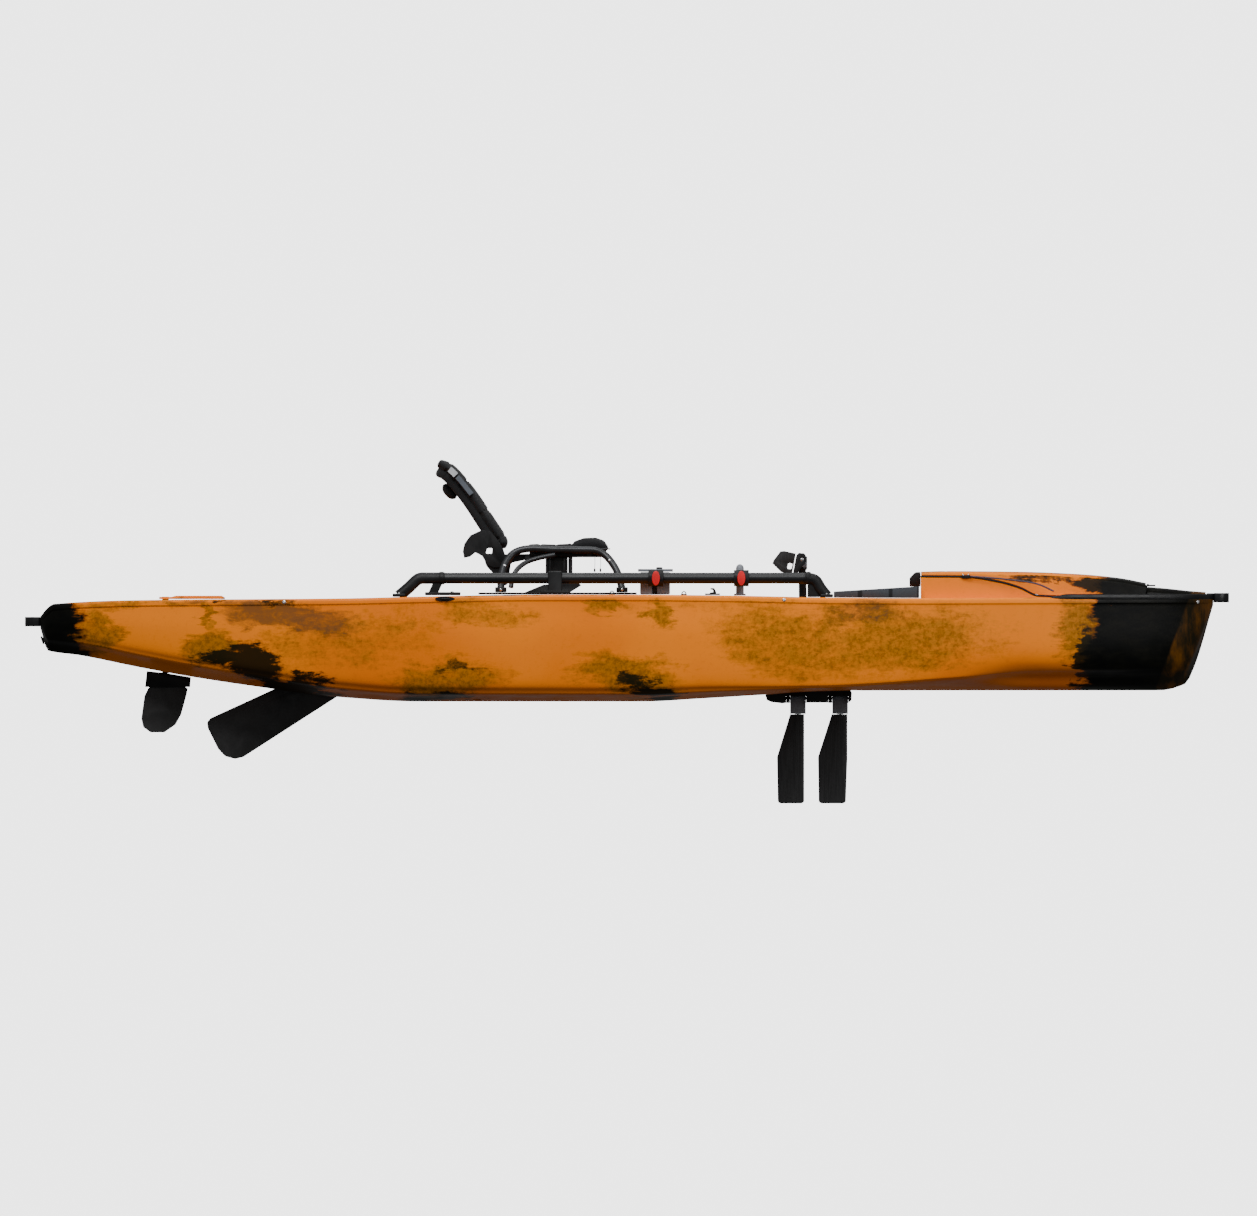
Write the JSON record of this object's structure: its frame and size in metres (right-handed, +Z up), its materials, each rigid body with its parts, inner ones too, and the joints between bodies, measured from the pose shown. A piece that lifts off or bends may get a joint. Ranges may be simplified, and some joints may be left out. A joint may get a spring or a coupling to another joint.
{
  "type": "pedal fishing kayak",
  "caption": "Sit-on-top kayak that is pedalled: flapping fins under the hull, a raised reclining seat, side rails, hatches, a rudder and a drop-down skeg.",
  "frame": {"origin": "centre of the flat keel face amidships, where a cradle holds the hull", "axes": "+X towards the bow, +Y towards port, +Z up; the keel face looks along -Z"},
  "size_m": [4.17, 0.965, 1.1938],
  "materials": {
    "hull_plastic": "orange rotomoulded polyethylene with olive and black smudges, black ends",
    "black_plastic": "black moulded nylon, fine texture",
    "grey_plastic": "mid grey moulded nylon",
    "red_plastic": "bright red moulded plastic",
    "black_rubber": "black flexible moulding",
    "rail_aluminium": "dark slate anodised tube",
    "seat_aluminium": "dark grey anodised tube",
    "stainless": "stainless steel",
    "seat_fabric": "black woven mesh over foam",
    "deck_foam": "dark grey closed-cell foam"
  },
  "bodies": {
    "hull": {"hull": "hull_plastic", "bow_handle": "black_plastic", "stern_handle": "black_plastic", "rail_stbd": "rail_aluminium", "rail_port": "rail_aluminium", "rail_end_stbd_aft": "black_plastic", "rail_end_stbd_fwd": "black_plastic", "rail_end_port_aft": "black_plastic", "rail_end_port_fwd": "black_plastic", "rail_bracket_stbd": "black_plastic", "rail_bracket_port": "black_plastic", "clamp_aft": "black_plastic", "clamp_fwd": "black_plastic", "console": "grey_plastic", "deck_ramp_stbd": "deck_foam", "deck_ramp_port": "deck_foam", "cleat_hook": "black_plastic", "hatch_seal": "black_rubber", "hatch_hinge": "black_plastic", "cord_cleat": "black_plastic", "hatch_cord": "black_rubber", "seat_track_stbd": "black_plastic", "seat_track_port": "black_plastic", "drive_spine": "black_plastic", "skeg_pin": "stainless"},
    "drain_plug": {"drain_plug": "black_plastic"},
    "cam_aft": {"cam_aft": "red_plastic"},
    "cam_fwd": {"cam_fwd": "red_plastic"},
    "steer_lever": {"steer_lever": "grey_plastic"},
    "direction_post": {"direction_post": "grey_plastic"},
    "hatch_lid": {"hatch_lid": "hull_plastic"},
    "hatch_latch": {"hatch_latch": "black_plastic"},
    "bin_lid": {"bin_lid": "black_plastic"},
    "seat": {"seat_frame": "seat_aluminium", "seat_hoop_stbd": "seat_aluminium", "seat_hoop_port": "seat_aluminium", "seat_pan": "seat_fabric"},
    "seat_back": {"back_frame": "seat_aluminium", "back_pad": "seat_fabric", "back_roll": "seat_fabric", "back_bracket_stbd": "black_plastic", "back_bracket_port": "black_plastic"},
    "crank_stbd": {"crank_stbd": "black_plastic"},
    "crank_port": {"crank_port": "black_plastic"},
    "pedal_stbd": {"pedal_stbd": "black_plastic", "pedal_strap_stbd": "black_rubber"},
    "pedal_port": {"pedal_port": "black_plastic", "pedal_strap_port": "black_rubber"},
    "pod": {"pod_plate": "black_plastic", "swing_shaft": "stainless"},
    "drum_fwd": {"drum_fwd": "grey_plastic"},
    "drum_aft": {"drum_aft": "grey_plastic"},
    "mast_fwd": {"mast_fwd": "grey_plastic"},
    "mast_aft": {"mast_aft": "grey_plastic"},
    "fin_fwd": {"fin_fwd": "black_rubber"},
    "fin_aft": {"fin_aft": "black_rubber"},
    "rudder": {"rudder_stock": "black_plastic", "tiller": "black_plastic"},
    "rudder_blade": {"rudder_blade": "black_plastic"},
    "skeg": {"skeg": "black_plastic"}
  },
  "joints": [
    {"name": "drain_plug_pull", "type": "slide", "parent": "hull", "child": "drain_plug", "axis": [-0.9474, 0, -0.3201], "range_m": [0, 0.03]},
    {"name": "cam_aft_turn", "type": "hinge", "parent": "hull", "child": "cam_aft", "pos_m": [0.1, -0.4467, 0.4272], "axis": [0, 1, 0], "range_deg": [0, 90]},
    {"name": "cam_fwd_turn", "type": "hinge", "parent": "hull", "child": "cam_fwd", "pos_m": [0.396, -0.4467, 0.4272], "axis": [0, 1, 0], "range_deg": [0, 90]},
    {"name": "steer_lever_turn", "type": "hinge", "parent": "hull", "child": "steer_lever", "pos_m": [0.066, -0.345, 0.454], "axis": [0, 0, 1], "range_deg": [-25, 25]},
    {"name": "direction_post_turn", "type": "hinge", "parent": "hull", "child": "direction_post", "pos_m": [0.391, -0.364, 0.367], "axis": [0, 0, 1], "continuous": true},
    {"name": "hatch_lid_open", "type": "hinge", "parent": "hull", "child": "hatch_lid", "pos_m": [1.804, 0, 0.4035], "axis": [0, 1, 0], "range_deg": [0, 95]},
    {"name": "hatch_latch_flip", "type": "hinge", "parent": "hull", "child": "hatch_latch", "pos_m": [1.01, 0, 0.404], "axis": [0, 1, 0], "range_deg": [-90, 0]},
    {"name": "bin_lid_open", "type": "hinge", "parent": "hull", "child": "bin_lid", "pos_m": [0.3275, 0, 0.129], "axis": [0, 1, 0], "range_deg": [0, 95]},
    {"name": "seat_slide", "type": "slide", "parent": "hull", "child": "seat", "axis": [1, 0, 0], "range_m": [-0.05, 0.025]},
    {"name": "back_recline", "type": "hinge", "parent": "seat", "child": "seat_back", "pos_m": [-0.441, 0, 0.488], "axis": [0, 1, 0], "range_deg": [-12, 50]},
    {"name": "crank_stbd_swing", "type": "hinge", "parent": "hull", "child": "crank_stbd", "pos_m": [0.612, 0, 0.185], "axis": [0, 1, 0], "range_deg": [-28, 28]},
    {"name": "crank_port_swing", "type": "hinge", "parent": "hull", "child": "crank_port", "pos_m": [0.612, 0, 0.185], "axis": [0, 1, 0], "range_deg": [-28, 28]},
    {"name": "pedal_stbd_tilt", "type": "hinge", "parent": "crank_stbd", "child": "pedal_stbd", "pos_m": [0.606, -0.155, 0.492], "axis": [0, 1, 0], "range_deg": [-30, 30]},
    {"name": "pedal_port_tilt", "type": "hinge", "parent": "crank_port", "child": "pedal_port", "pos_m": [0.606, 0.155, 0.492], "axis": [0, 1, 0], "range_deg": [-30, 30]},
    {"name": "pod_turn", "type": "hinge", "parent": "hull", "child": "pod", "pos_m": [0.65, 0, 0.0115], "axis": [0, 0, 1], "continuous": true},
    {"name": "drum_fwd_swing", "type": "hinge", "parent": "pod", "child": "drum_fwd", "pos_m": [0.738, 0, 0.0115], "axis": [1, 0, 0], "range_deg": [-73, 73]},
    {"name": "drum_aft_swing", "type": "hinge", "parent": "pod", "child": "drum_aft", "pos_m": [0.592, 0, 0.0115], "axis": [1, 0, 0], "range_deg": [-73, 73]},
    {"name": "mast_fwd_kick", "type": "hinge", "parent": "drum_fwd", "child": "mast_fwd", "pos_m": [0.738, 0, -0.0235], "axis": [0, 1, 0], "range_deg": [0, 36]},
    {"name": "mast_aft_kick", "type": "hinge", "parent": "drum_aft", "child": "mast_aft", "pos_m": [0.592, 0, -0.0235], "axis": [0, 1, 0], "range_deg": [0, 36]},
    {"name": "fin_fwd_feather", "type": "hinge", "parent": "mast_fwd", "child": "fin_fwd", "pos_m": [0.738, 0, -0.044], "axis": [0, 0, 1], "range_deg": [-20, 20]},
    {"name": "fin_aft_feather", "type": "hinge", "parent": "mast_aft", "child": "fin_aft", "pos_m": [0.592, 0, -0.044], "axis": [0, 0, 1], "range_deg": [-20, 20]},
    {"name": "rudder_turn", "type": "hinge", "parent": "hull", "child": "rudder", "pos_m": [-1.598, 0, 0.2], "axis": [0, 0, 1], "range_deg": [-45, 45]},
    {"name": "rudder_kick", "type": "hinge", "parent": "rudder", "child": "rudder_blade", "pos_m": [-1.6, 0, 0.066], "axis": [0, 1, 0], "range_deg": [0, 44]},
    {"name": "skeg_retract", "type": "hinge", "parent": "hull", "child": "skeg", "pos_m": [-0.985, 0, 0.1], "axis": [0, 1, 0], "range_deg": [0, 35]}
  ],
  "couplings": [
    {"joint": "crank_port_swing", "follows": "crank_stbd_swing", "ratio": -1},
    {"joint": "drum_fwd_swing", "follows": "crank_stbd_swing", "ratio": 2.6},
    {"joint": "drum_aft_swing", "follows": "crank_stbd_swing", "ratio": -2.6},
    {"joint": "mast_fwd_kick", "follows": "mast_aft_kick", "ratio": 1},
    {"joint": "steer_lever_turn", "follows": "rudder_turn", "ratio": 0.5555},
    {"joint": "direction_post_turn", "follows": "pod_turn", "ratio": 1}
  ]
}
